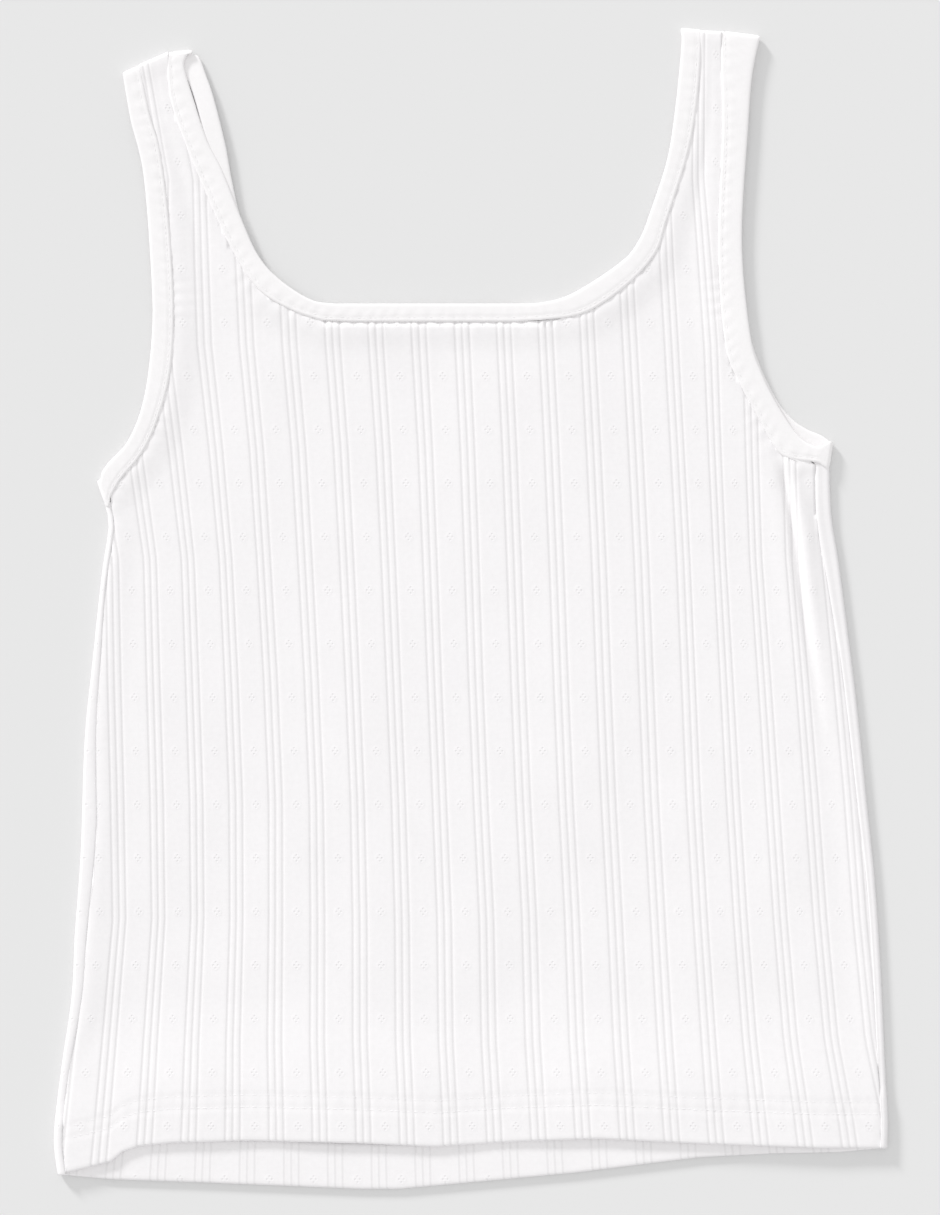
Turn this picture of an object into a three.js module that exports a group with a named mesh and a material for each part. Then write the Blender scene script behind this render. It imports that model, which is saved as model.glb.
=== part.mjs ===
// Sleeveless rib-knit tank top with a wide scoop neck, laid flat on its back.
// Millimetres, +Z up. The straps point to +Y, the wearer's left side lies at +X, and the
// origin is at the bottom centre of the garment's box.
//
// The back panel lies on the ground with its sides rolled up and over to the side seams.
// The front panel lies on it and turns over the shoulders to the shoulder seams. Three
// bindings, each one closed ring folded flat, finish the neck and the armholes.

import * as THREE from 'three';

// ---------------------------------------------------------------- driving dimensions

const CLOTH = 1.0; // wall of the rib-knit panels
const HEM_CLOTH = 2.0; // wall where the hem allowance is turned up and doubles the cloth
const BINDING = 1.8; // wall of a doubled binding strip
const SEAM_GAP = 0.3; // clearance between pieces that are sewn edge to edge
const LAYER_GAP = 0.4; // air between the front and what it lies on
const HEM_DEPTH = 25; // hem edge to hem stitching
const HEM_STEP = 1.5; // length over which the hem's double wall thins to one

const SIDE_FOLD = 2 * CLOTH + 1.2; // height of the roll along the sides
const HEM_FOLD = 2 * HEM_CLOTH + LAYER_GAP; // and at the hem
const BINDING_FOLD = 2 * BINDING + LAYER_GAP; // height where a binding or strap folds
const SHOULDER_LAP = 4; // front panel that lies on the back past the fold

const LOFT_REACH = 16; // distance over which the front settles from a seam
const FOLD_STEPS = 5; // facets of a half turn

const BACK_TUCK = 1.6; // how far the back's edges hide behind the front's
const BACK_NECK_DROP = 2; // how much lower the back neckline lies

// ---------------------------------------------------------------- outlines, as x, y pairs

// Sides of the laid garment, from the hem corner up to the armhole binding.
const SIDE = {
  left: line([-206.5, -283], [-208.4, -264], [-205, -232], [-199.5, -194], [-198, -164],
    [-195, -122], [-193, -66], [-189, -26], [-184.5, 16], [-181, 40], [-182.5, 50]),
  right: line([208, -269.7], [208.3, -255], [207, -230], [204.7, -180], [201.8, -136],
    [197.7, -96], [192.5, -46], [187.5, -6], [183.5, 24], [180, 46.5], [179, 69.5]),
};

// How far the back rolls over onto the front: height, width of the strip that shows.
const ROLL = {
  left: heights([-283, 4], [-230, 4], [-175, 5.5], [-106, 7.5], [-46, 4.5], [5, 2.4], [50, 2.4]),
  right: heights([-270, 3.4], [-150, 4], [-20, 5.5], [31, 8], [69.5, 7]),
};

const STRIP_RISE = { left: 0, right: 2.8 }; // from the fold to the seam at the strip's top

// Bottom edges: across, height. The back hangs lower and its inside shows there.
const HEM = {
  front: heights([-206.5, -283], [-194, -280], [-180, -276.5], [-170, -270], [-149, -267],
    [-110, -266], [-55, -267.3], [-18, -269], [21, -266.5], [64, -265], [114, -267.5],
    [174, -269.7], [208, -269.7]),
  back: heights([-206.5, -283], [-180, -285.5], [-131, -287.2], [-55, -290.3], [-36, -290.3],
    [6, -286.5], [51, -282.3], [114, -274.5], [150, -272.6], [184, -271.9], [208, -269.7]),
};

// Bindings: the free edge and the seam, from the underarm or the neck's lower corner up to
// the shoulder fold.
const FRONT = {
  leftArmhole: {
    edge: line([-187, 63.5], [-181.5, 72], [-171, 84], [-163.5, 104], [-159.5, 134],
      [-159.5, 164], [-163.5, 216], [-170, 244], [-174, 267.5]),
    seam: line([-182.5, 50], [-179, 57.5], [-174.5, 65], [-165, 76.5], [-157.5, 91.5],
      [-150.5, 116.5], [-148.5, 149], [-151, 194], [-155.5, 229], [-160.5, 246.5],
      [-165.5, 271.5]),
  },
  rightArmhole: {
    edge: line([181, 83], [176, 81.3], [171, 81], [164, 85.5], [154.5, 99], [145.5, 116.5],
      [139.5, 136.5], [135.3, 184], [138.5, 241.5], [140.5, 266.5], [144.5, 286]),
    seam: line([179, 69.5], [173.5, 72.5], [159.5, 74.5], [152.5, 79], [143.5, 95],
      [134.5, 111.5], [127, 131.5], [123.5, 179], [125.5, 239], [125, 268], [124.5, 288.5]),
  },
  leftNeck: {
    edge: line([-68, 152], [-80, 154], [-95.5, 164], [-106.5, 176.5], [-115.5, 196.5],
      [-124.5, 219], [-132, 234], [-138.5, 254], [-142.8, 268], [-143, 273.5], [-139.5, 279]),
    seam: line([-74, 143.5], [-90, 149], [-106.5, 159.5], [-120.5, 181], [-132.5, 207.5],
      [-142.5, 231.5], [-149.5, 251.5], [-151.5, 266], [-151.8, 277.5]),
  },
  rightNeck: {
    edge: line([32, 152], [49.5, 156.5], [74.5, 172.5], [84, 184], [90, 199], [98, 224],
      [102, 249], [105, 279], [105, 289.8]),
    seam: line([35, 143.7], [57, 147.5], [77.5, 161], [92, 177], [97.5, 193], [107.5, 224],
      [112, 246.5], [114.5, 271.5], [115, 289]),
  },
};

// The back's bindings lie behind the front's, except beside the left strap and at the right
// underarm, where they come out from under it.
const BACK = {
  leftArmhole: tucked(FRONT.leftArmhole, BACK_TUCK),
  rightArmhole: {
    edge: line([181, 83], [174.5, 86.5], [168.5, 89], [161, 94], [153.5, 103], [144.5, 121],
      [138.5, 142], [134, 184], [137, 241.5], [140, 266.5], [144.5, 286]),
    seam: line([179, 69.5], [173, 75.5], [162, 79], [152, 86], [142.5, 100], [133, 116],
      [126, 136], [122.2, 179], [124.2, 239], [124.4, 268], [124.5, 288.5]),
  },
  leftNeck: {
    edge: line([-66, 150], [-80, 152], [-97, 162], [-108, 176], [-115.5, 196.5],
      [-119.5, 214], [-123, 233], [-129, 256.5], [-132.5, 266.5], [-135.5, 274.5],
      [-139.5, 279]),
    seam: line([-74, 141.5], [-89, 145], [-105, 155.5], [-117.5, 172], [-125.5, 194],
      [-129.5, 214], [-133.5, 236], [-139.5, 258], [-145.5, 270], [-151.8, 277.5]),
  },
  rightNeck: tucked(FRONT.rightNeck, BACK_TUCK),
};

const NECK_BOTTOM = { edge: 152, seam: 143 }; // height of the scoop's flat stretch

// Which way each shoulder fold faces.
const SHOULDER_OUT = {
  left: new THREE.Vector2(-0.2, 1).normalize(),
  right: new THREE.Vector2(0.1, 1).normalize(),
};

// Soft crease under the right armhole: height, centre across, how far it stands up.
const CREASE = [
  { y: 74, x: 155, rise: 1.6 },
  { y: 40, x: 162, rise: 2.2 },
  { y: 10, x: 166, rise: 1.8 },
  { y: -30, x: 172, rise: 0.9 },
  { y: -70, x: 177, rise: 0 },
];
const CREASE_WIDTH = 7;

// ---------------------------------------------------------------- rows and columns

// Rows as shares of a stretch: hem stitching to underarm, underarm to the neck's bottom,
// and from there to the shoulder.
const BODY_ROWS = [0.07, 0.16, 0.26, 0.36, 0.46, 0.56, 0.66, 0.76, 0.86, 0.94];
const ARMHOLE_ROWS = [0.12, 0.25, 0.4, 0.58, 0.79];
const STRAP_ROWS = [0.06, 0.14, 0.24, 0.36, 0.49, 0.62, 0.74, 0.84, 0.92];

// Columns as shares of each third of a row. They are closer where the crease runs.
const COLUMNS = {
  left: [0, 0.18, 0.36, 0.54, 0.7, 0.86, 1],
  middle: [0.2, 0.4, 0.6, 0.8],
  right: [0, 0.2, 0.38, 0.54, 0.66, 0.75, 0.81, 0.87, 0.93, 1],
};
const MIDDLE_AT_HEM = { left: -85, right: 70 }; // where the middle third ends at the hem

// ---------------------------------------------------------------- plane helpers

function line(...points) {
  return new THREE.SplineCurve(points.map(([x, y]) => new THREE.Vector2(x, y)));
}

// Value over a distance, straight between pairs that rise in their first number.
function heights(...pairs) {
  return (at) => {
    const next = THREE.MathUtils.clamp(pairs.findIndex(([u]) => u > at), 1, pairs.length - 1);
    const beyond = at >= pairs[pairs.length - 1][0];
    const [[u0, v0], [u1, v1]] = beyond ? pairs.slice(-2) : pairs.slice(next - 1, next + 1);
    return mix(v0, v1, THREE.MathUtils.clamp((at - u0) / (u1 - u0), 0, 1));
  };
}

function mix(a, b, share) {
  return a + (b - a) * share;
}

function between(a, b, share) {
  return a.clone().lerp(b, share);
}

// One near the start of a reach, falling smoothly to nothing at its end.
function fade(distance, reach) {
  return 1 - THREE.MathUtils.smoothstep(distance, 0, reach);
}

// Unit vector across a curve, to the side on which another point lies.
function across(curve, share, target) {
  const tangent = curve.getTangentAt(share);
  const side = new THREE.Vector2(-tangent.y, tangent.x);
  const towards = target.clone().sub(curve.getPointAt(share));
  return side.dot(towards) < 0 ? side.negate() : side;
}

// A binding's edge and seam, both moved away from the opening. Their ends stay.
function tucked({ edge, seam }, distance) {
  const SAMPLES = 16;
  const shares = Array.from({ length: SAMPLES + 1 }, (_, i) => i / SAMPLES);
  const move = (curve) => new THREE.SplineCurve(shares.map((share) => {
    const inward = across(seam, share, edge.getPointAt(share)).negate();
    const push = distance * Math.sqrt(Math.sin(Math.PI * share));
    return curve.getPointAt(share).addScaledVector(inward, push || 0);
  }));
  return { edge: move(edge), seam: move(seam) };
}

// The share of a curve's length at which one coordinate has a given value.
function shareAt(curve, key, value) {
  const rising = curve.getPointAt(1)[key] > curve.getPointAt(0)[key];
  let [low, high] = [0, 1];
  for (let i = 0; i < 30; i += 1) {
    const middle = (low + high) / 2;
    if ((curve.getPointAt(middle)[key] < value) === rising) low = middle;
    else high = middle;
  }
  return (low + high) / 2;
}

// A panel's own edge: the seam, moved off the binding by the seam's clearance.
function panelEdge({ edge, seam }, share) {
  const inward = across(seam, share, edge.getPointAt(share)).negate();
  return seam.getPointAt(share).addScaledVector(inward, SEAM_GAP);
}

function panelEdgeAtX(binding, x) {
  return panelEdge(binding, shareAt(binding.seam, 'x', x));
}

// ---------------------------------------------------------------- walls

// A closed wall round a grid of { middle, normal, wall }. A cell exists where its four
// corners do. A closed grid runs on from its last row to its first.
function wallGeometry(rows, { closed = false } = {}) {
  const positions = [];
  const index = rows.map((row) => row.map((node) => {
    if (!node) return null;
    const number = positions.length / 3;
    for (const side of [1, -1]) {
      const p = node.middle.clone().addScaledVector(node.normal, side * node.wall / 2);
      positions.push(p.x, p.y, p.z);
    }
    return number;
  }));
  const lastRow = closed ? rows.length : rows.length - 1;
  const cellAt = (r, c) => {
    const row = closed ? (r + rows.length) % rows.length : r;
    if (row < 0 || row >= lastRow || c < 0 || c >= rows[0].length - 1) return null;
    const [low, high] = [index[row], index[(row + 1) % rows.length]];
    const corners = [low[c], low[c + 1], high[c + 1], high[c]];
    return corners.includes(null) ? null : corners;
  };
  const faces = [];
  const neighbours = [[-1, 0], [0, 1], [1, 0], [0, -1]];
  for (let r = 0; r < lastRow; r += 1) {
    for (let c = 0; c < rows[0].length - 1; c += 1) {
      const cell = cellAt(r, c);
      if (!cell) continue;
      const [a, b, d, e] = cell;
      faces.push(a, b, d, a, d, e);
      faces.push(a + 1, d + 1, b + 1, a + 1, e + 1, d + 1);
      neighbours.forEach(([down, over], side) => {
        if (cellAt(r + down, c + over)) return;
        const [p, q] = [cell[side], cell[(side + 1) % 4]];
        faces.push(q, p, p + 1, q, p + 1, q + 1);
      });
    }
  }
  if (volume(positions, faces) < 0) faces.reverse();
  const geometry = new THREE.BufferGeometry();
  geometry.setAttribute('position', new THREE.Float32BufferAttribute(positions, 3));
  geometry.setIndex(faces);
  geometry.computeVertexNormals();
  return geometry;
}

function volume(positions, faces) {
  const at = (i) => new THREE.Vector3().fromArray(positions, 3 * i);
  let sum = 0;
  for (let i = 0; i < faces.length; i += 3) {
    sum += at(faces[i]).dot(at(faces[i + 1]).cross(at(faces[i + 2]))) / 6;
  }
  return sum;
}

function flatNode(point, level, normalZ, wall) {
  return {
    middle: new THREE.Vector3(point.x, point.y, level),
    normal: new THREE.Vector3(0, 0, normalZ),
    wall,
  };
}

// One step of a half turn at a fold. The turn's outside just reaches the fold line, and
// the angle runs from 0, on top, to pi, underneath.
function foldNode(point, outward, angle, height, wall) {
  const radius = (height - wall) / 2;
  const reach = radius * Math.sin(angle) - height / 2;
  const plan = point.clone().addScaledVector(outward, reach);
  return {
    middle: new THREE.Vector3(plan.x, plan.y, height / 2 + radius * Math.cos(angle)),
    normal: new THREE.Vector3(outward.x * Math.sin(angle), outward.y * Math.sin(angle),
      Math.cos(angle)),
    wall,
  };
}

const FOLD_ANGLES = Array.from({ length: FOLD_STEPS + 1 }, (_, i) => Math.PI * i / FOLD_STEPS);

// ---------------------------------------------------------------- where the layers meet

const SIDES = ['left', 'right'];
const INWARD = { left: 1, right: -1 };
const UNDERARM = { left: SIDE.left.getPointAt(1), right: SIDE.right.getPointAt(1) };

// The side seam: where the strip that the back rolls over meets the front.
const stripWidth = (side, y) => Math.max(ROLL[side](y), HEM_FOLD / 2 + SEAM_GAP);
const seamX = (side, x, y) => x + INWARD[side] * stripWidth(side, y);
const UNDERARM_SEAM = Object.fromEntries(SIDES.map((side) => {
  const { x, y } = UNDERARM[side];
  return [side, seamX(side, x, y)];
}));

// Shares of the armhole seams at the underarm, where the panel starts, and level with the
// neck's bottom.
function armholeMarks(binding, side, start) {
  return {
    first: start === undefined ? 0 : shareAt(binding.seam, 'x', start),
    neck: shareAt(binding.seam, 'y', NECK_BOTTOM.seam - (side === 'left' ? 2 : 0)),
  };
}

function marksOf(layer, start) {
  return Object.fromEntries(SIDES.map((side) => (
    [side, armholeMarks(layer[`${side}Armhole`], side, start && start[side])])));
}

const FRONT_START = {
  left: UNDERARM_SEAM.left + SEAM_GAP,
  right: UNDERARM_SEAM.right - SEAM_GAP,
};
const MARKS = { front: marksOf(FRONT, FRONT_START), back: marksOf(BACK) };

// Past the fold the front panel laps this share short of the back's seams.
const lapShare = (curve) => 1 - (BINDING_FOLD / 2 + SHOULDER_LAP) / curve.getLength();

// ---------------------------------------------------------------- the panels' rows

// A row is { wall, points, height, strap }: its ends and the two ends of its middle third,
// as plan points, and for a row of the body the height over the distance across.
function planRows(layer, marks, hemEdge, neckDrop) {
  const neck = [panelEdge(layer.leftNeck, 0), panelEdge(layer.rightNeck, 0)];
  const armholes = (share) => SIDES.map((side) => panelEdge(layer[`${side}Armhole`], share[side]));
  const spreadOut = (share) => neck.map(({ x }, i) => mix(x, MIDDLE_AT_HEM[SIDES[i]], share));

  const body = [[0, 0, HEM_CLOTH], [0, HEM_DEPTH, HEM_CLOTH], [0, HEM_DEPTH + HEM_STEP, CLOTH],
    ...BODY_ROWS.map((share) => [share, HEM_DEPTH, CLOTH]), [1, HEM_DEPTH, CLOTH]];
  const bodyRows = body.map(([share, lift, wall]) => {
    const height = (x) => {
      const along = (x - UNDERARM.left.x) / (UNDERARM.right.x - UNDERARM.left.x);
      const top = mix(UNDERARM.left.y, UNDERARM.right.y, THREE.MathUtils.clamp(along, 0, 1));
      return mix(hemEdge(x) + lift, top - SEAM_GAP, share);
    };
    const [left, right] = SIDES.map((side) => {
      const y = height(SIDE[side].getPointAt(share).x);
      return SIDE[side].getPointAt(shareAt(SIDE[side], 'y', y));
    });
    const centre = spreadOut(1 - 0.75 * share).map((x) => new THREE.Vector2(x, height(x)));
    return { wall, height, top: share === 1, points: [left, ...centre, right] };
  });

  const upperRows = ARMHOLE_ROWS.map((step) => {
    const share = Object.fromEntries(SIDES.map((side) => (
      [side, mix(marks[side].first, marks[side].neck, step)])));
    const [left, right] = armholes(share);
    const centre = spreadOut(0.25 * (1 - step)).map((x) => new THREE.Vector2(
      x, mix(left.y, right.y, (x - left.x) / (right.x - left.x))));
    return { wall: CLOTH, points: [left, ...centre, right] };
  });

  const neckShare = { left: marks.left.neck, right: marks.right.neck };
  const [neckLeft, neckRight] = armholes(neckShare);
  const neckRow = {
    wall: CLOTH,
    points: [neckLeft, ...neck, neckRight],
    middleY: NECK_BOTTOM.seam - neckDrop - SEAM_GAP,
  };

  const strapRows = STRAP_ROWS.map((step) => {
    const share = Object.fromEntries(SIDES.map((side) => (
      [side, mix(marks[side].neck, 1, step)])));
    const [left, right] = armholes(share);
    const inner = [panelEdge(layer.leftNeck, step), panelEdge(layer.rightNeck, step)];
    return { wall: CLOTH, strap: true, points: [left, ...inner, right] };
  });
  return [...bodyRows, ...upperRows, neckRow, ...strapRows];
}

// The plan points of a row's columns. The middle of a strap row is the neck opening.
function spread({ points: [a, b, c, d], height, strap, middleY }) {
  const left = COLUMNS.left.map((share) => between(a, b, share));
  const right = COLUMNS.right.map((share) => between(c, d, share));
  const middle = COLUMNS.middle.map((share) => {
    if (strap) return null;
    const p = between(b, c, share);
    if (middleY !== undefined) p.y = middleY;
    return p;
  });
  if (height) {
    const inner = [...left.slice(1), ...middle, ...right.slice(0, -1)];
    for (const p of inner) p.y = height(p.x);
  }
  return [...left, ...middle, ...right];
}

// ---------------------------------------------------------------- front panel

const SEAM_POINTS = Object.values(FRONT).flatMap(({ seam }) => seam.getSpacedPoints(60));
for (const share of COLUMNS.middle) {
  const x = mix(FRONT.leftNeck.seam.points[0].x, FRONT.rightNeck.seam.points[0].x, share);
  SEAM_POINTS.push(new THREE.Vector2(x, NECK_BOTTOM.seam));
}

// Level of the front's underside: on the back, and raised towards the thicker seams.
function frontFloor({ x, y }) {
  const pastHem = y - HEM.front(x) - HEM_DEPTH;
  const rest = CLOTH + LAYER_GAP;
  if (pastHem < HEM_STEP / 2) return HEM_CLOTH + LAYER_GAP;
  const toSeam = Math.min(...SEAM_POINTS.map((p) => Math.hypot(p.x - x, p.y - y)));
  const toSide = Math.min(...SIDES.map((side) => {
    if (y > UNDERARM[side].y) return LOFT_REACH;
    const edge = SIDE[side].getPointAt(shareAt(SIDE[side], 'y', y)).x;
    return Math.abs(x - seamX(side, edge, y));
  }));
  const lift = Math.max(
    (HEM_CLOTH + LAYER_GAP - rest) * fade(pastHem, LOFT_REACH),
    (SIDE_FOLD - CLOTH - rest) * fade(toSide, LOFT_REACH),
    (BINDING_FOLD - (BINDING + CLOTH) / 2 - rest) * fade(toSeam, LOFT_REACH),
  );
  return rest + lift + creaseRise(x, y);
}

function creaseRise(x, y) {
  const next = CREASE.findIndex((section) => section.y <= y);
  if (next <= 0) return 0;
  const [above, below] = [CREASE[next - 1], CREASE[next]];
  const share = (above.y - y) / (above.y - below.y);
  const offset = (x - mix(above.x, below.x, share)) / CREASE_WIDTH;
  return mix(above.rise, below.rise, share) * Math.exp(-offset * offset);
}

function frontPanel() {
  const rows = planRows(FRONT, MARKS.front, HEM.front, 0);
  for (const { height, top, points } of rows.filter((row) => row.height)) {
    SIDES.forEach((side, i) => {
      const end = points[3 * i];
      end.x = seamX(side, end.x, end.y) + INWARD[side] * SEAM_GAP;
      if (top) end.copy(panelEdgeAtX(FRONT[`${side}Armhole`], end.x));
      else end.y = Math.max(end.y, height(end.x));
    });
  }
  const grid = rows.map((row) => spread(row).map((p) => (
    p && flatNode(p, frontFloor(p) + row.wall / 2, 1, row.wall))));
  const gap = COLUMNS.middle.map(() => null);
  const left = shoulderFold('left', COLUMNS.left, 'Armhole', 'Neck');
  const right = shoulderFold('right', COLUMNS.right, 'Neck', 'Armhole');
  left.forEach((nodes, i) => grid.push([...nodes, ...gap, ...right[i]]));
  return wallGeometry(grid);
}

// The front panel's turn over one shoulder, ending on the ground at the shoulder seam.
function shoulderFold(side, columns, first, second) {
  const seams = [first, second].map((name) => FRONT[side + name].seam.getPointAt(1));
  const along = seams[1].clone().sub(seams[0]).setLength(SEAM_GAP);
  const [from, to] = [seams[0].add(along), seams[1].sub(along)];
  const turn = FOLD_ANGLES.map((angle) => columns.map((share) => (
    foldNode(between(from, to, share), SHOULDER_OUT[side], angle, BINDING_FOLD, CLOTH))));
  const [start, end] = [first, second].map((name) => {
    const binding = BACK[side + name];
    return panelEdge(binding, lapShare(binding.seam));
  });
  const lap = columns.map((share) => flatNode(between(start, end, share), CLOTH / 2, -1, CLOTH));
  return [...turn, lap];
}

// ---------------------------------------------------------------- back panel

function backPanel() {
  const rows = planRows(BACK, MARKS.back, HEM.back, BACK_NECK_DROP);
  const grid = rows.map((row) => {
    const { wall, top, points } = row;
    const foldHeight = wall > CLOTH ? HEM_FOLD : SIDE_FOLD;
    const rolls = SIDES.map((side, i) => rollOver(side, row, points[3 * i].clone(), foldHeight));
    if (row.height) {
      SIDES.forEach((side, i) => {
        const end = points[3 * i];
        end.x += INWARD[side] * (top ? BINDING_FOLD / 2 + 2 * SEAM_GAP : foldHeight / 2);
      });
    }
    const flat = spread(row).map((p) => p && flatNode(p, wall / 2, -1, wall));
    return [...rolls[0], ...flat, ...rolls[1].reverse()];
  });
  grid.push([...noRoll(), ...backShoulder('left', COLUMNS.left, 'Armhole', 'Neck'),
    ...COLUMNS.middle.map(() => null),
    ...backShoulder('right', COLUMNS.right, 'Neck', 'Armhole'), ...noRoll()]);
  return wallGeometry(grid);
}

const noRoll = () => Array(FOLD_ANGLES.length).fill(null);

// The back's top edge, at the shoulder seam that the front laps to.
function backShoulder(side, columns, first, second) {
  const [start, end] = [first, second].map((name) => {
    const binding = BACK[side + name];
    const share = lapShare(binding.seam) - SEAM_GAP / binding.seam.getLength();
    return panelEdge(binding, share);
  });
  return columns.map((share) => flatNode(between(start, end, share), CLOTH / 2, -1, CLOTH));
}

// The back's side: up round the fold and over the front as a strip, to the side seam.
function rollOver(side, { wall, height, top }, end, foldHeight) {
  if (!height) return noRoll();
  const outward = new THREE.Vector2(-INWARD[side], 0);
  const turn = FOLD_ANGLES.slice(0, -1).map((angle) => (
    foldNode(end, outward, angle, foldHeight, wall)));
  const seam = foldNode(end, outward, 0, foldHeight, wall);
  seam.middle.x = seamX(side, end.x, end.y);
  if (top) seam.middle.y += STRIP_RISE[side];
  return [seam, ...turn];
}

// ---------------------------------------------------------------- bindings

const UNDER = { level: BINDING / 2, up: -1 }; // a strip that lies on the ground
const OVER = { level: BINDING_FOLD - BINDING / 2, up: 1 }; // and the one on top of it

function strip({ edge, seam }, share, { level, up }) {
  return [edge, seam].map((curve) => flatNode(curve.getPointAt(share), level, up, BINDING));
}

function strips(binding, shares, layer) {
  return shares.map((share) => strip(binding, share, layer));
}

// A half turn from the top strip to the one on the ground.
function bindingFold({ edge, seam }, share, outward) {
  return FOLD_ANGLES.map((angle) => [edge, seam].map((curve) => (
    foldNode(curve.getPointAt(share), outward, angle, BINDING_FOLD, BINDING))));
}

function armholeBinding(side) {
  const [front, back] = [FRONT[`${side}Armhole`], BACK[`${side}Armhole`]];
  const shares = ({ first, neck }) => [...ARMHOLE_ROWS.map((step) => mix(first, neck, step)),
    neck, ...STRAP_ROWS.map((step) => mix(neck, 1, step))];
  const [a, b] = [front.edge.getPointAt(0), front.seam.getPointAt(0)];
  const underarmOut = new THREE.Vector2(a.y - b.y, b.x - a.x).setLength(-INWARD[side]);
  return wallGeometry([
    ...strips(front, [MARKS.front[side].first, ...shares(MARKS.front[side])], OVER),
    ...bindingFold(front, 1, SHOULDER_OUT[side]),
    strip(back, lapShare(back.seam), UNDER),
    ...strips(back, shares(MARKS.back[side]).reverse(), UNDER),
    ...bindingFold(front, 0, underarmOut).reverse(),
  ], { closed: true });
}

function neckBinding() {
  const bottom = (layer, drop, { level, up }) => [0, ...COLUMNS.middle, 1].map((share) => (
    ['edge', 'seam'].map((key) => {
      const point = between(layer.leftNeck[key].getPointAt(0),
        layer.rightNeck[key].getPointAt(0), share);
      if (share > 0 && share < 1) point.y = NECK_BOTTOM[key] - drop;
      return flatNode(point, level, up, BINDING);
    })));
  const downwards = STRAP_ROWS.slice().reverse();
  return wallGeometry([
    ...strips(FRONT.leftNeck, downwards, OVER),
    ...bottom(FRONT, 0, OVER),
    ...strips(FRONT.rightNeck, STRAP_ROWS, OVER),
    ...bindingFold(FRONT.rightNeck, 1, SHOULDER_OUT.right),
    strip(BACK.rightNeck, lapShare(BACK.rightNeck.seam), UNDER),
    ...strips(BACK.rightNeck, downwards, UNDER),
    ...bottom(BACK, BACK_NECK_DROP, UNDER).reverse(),
    ...strips(BACK.leftNeck, STRAP_ROWS, UNDER),
    strip(BACK.leftNeck, lapShare(BACK.leftNeck.seam), UNDER),
    ...bindingFold(FRONT.leftNeck, 1, SHOULDER_OUT.left).reverse(),
  ], { closed: true });
}

// ---------------------------------------------------------------- materials and assembly

function cotton(color, roughness) {
  return new THREE.MeshStandardMaterial({ color, roughness, metalness: 0 });
}

const RIB_KNIT = cotton(0xf6f4f1, 0.9);
const BINDING_JERSEY = cotton(0xf8f6f4, 0.85);

function piece(name, geometry, material) {
  const mesh = new THREE.Mesh(geometry, material);
  mesh.name = name;
  return mesh;
}

const tankTop = new THREE.Group();
tankTop.add(
  piece('front_panel', frontPanel(), RIB_KNIT),
  piece('back_panel', backPanel(), RIB_KNIT),
  piece('neck_binding', neckBinding(), BINDING_JERSEY),
  piece('armhole_binding_left', armholeBinding('left'), BINDING_JERSEY),
  piece('armhole_binding_right', armholeBinding('right'), BINDING_JERSEY),
);

export default tankTop;
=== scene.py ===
"""Sleeveless tank top in white pointelle rib knit, laid flat with its front up.

The garment is measured in millimetres, +X to the right, +Y from the hem to the straps and +Z
up, and each mesh is turned into metres when it is made. Every piece is a surface over two
parameters, worked out as whole numpy arrays.
"""
import logging
import math
from collections.abc import Callable
from dataclasses import dataclass
from enum import Enum
from functools import cached_property

import bpy
import numpy as np
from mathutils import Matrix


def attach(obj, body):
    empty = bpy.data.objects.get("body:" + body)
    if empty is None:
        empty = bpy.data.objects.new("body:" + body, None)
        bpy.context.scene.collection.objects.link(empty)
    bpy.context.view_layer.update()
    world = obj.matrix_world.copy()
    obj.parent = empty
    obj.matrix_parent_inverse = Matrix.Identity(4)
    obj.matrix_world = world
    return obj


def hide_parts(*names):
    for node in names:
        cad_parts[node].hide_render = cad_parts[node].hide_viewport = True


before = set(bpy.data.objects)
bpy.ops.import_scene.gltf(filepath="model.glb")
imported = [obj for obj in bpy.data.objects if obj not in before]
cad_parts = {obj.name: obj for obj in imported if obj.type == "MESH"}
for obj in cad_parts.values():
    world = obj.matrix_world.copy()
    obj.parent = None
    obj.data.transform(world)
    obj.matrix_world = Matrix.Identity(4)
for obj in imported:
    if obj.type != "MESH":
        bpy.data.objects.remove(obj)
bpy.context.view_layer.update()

log = logging.getLogger("tank_top")

MM = 0.001
Array = np.ndarray

CLOTH = 1.0  # wall of the rib knit
BINDING = 1.8  # wall of a doubled binding strip
LAYER_GAP = 0.4  # air between the front and what it lies on
STITCH_RISES = (17.0, 23.0)  # the coverstitch's two rows, above the hem's edge
TOPSTITCH = 2.2  # from a binding's seam to its topstitch
MOTIF = 26.75  # repeat of the eyelet motif along a channel
CHANNEL = 21.3  # usual distance between rib groups
SIDE_FOLD = 2 * CLOTH + 1.2  # height of the roll along the sides
HEM_FOLD = 4 * CLOTH + LAYER_GAP  # and at the hem
BINDING_FOLD = 2 * BINDING + LAYER_GAP  # height where a strap folds
REST = 2 * CLOTH + LAYER_GAP  # usual level of the front's upper face
WALL = 0.96 * CLOTH  # wall given to the panels' surfaces
SHOULDER_LAP = 4.0  # front that lies on the ground past the shoulder fold
LOFT_REACH = 16.0  # distance over which the front settles from a seam
TUCK = 0.5  # how far a panel's edge reaches under its binding
BACK_TUCK = 1.6  # how far the back's strips are drawn in where they are hidden
UNDERARM_OVERLAP = 4.0  # side roll that runs on under the armhole binding
NECK_LEVEL = 143.0  # height of the scoop's flat stretch, at its seam
NECK_EDGE = 152.0  # and at its free edge
NECK_MIDDLE = -20.0  # parts the left strap from the right one


def smooth(low: float, high: float, value: Array) -> Array:
    """Nothing below low, one above high, and 3t^2 - 2t^3 between them."""
    t = np.clip((np.asarray(value, float) - low) / (high - low), 0, 1)
    return t * t * (3 - 2 * t)


def bump(offset: Array, width: float) -> Array:
    """A bell of height one: e to the minus square of offset over width."""
    return np.exp(-np.square(np.asarray(offset) / width))


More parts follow.
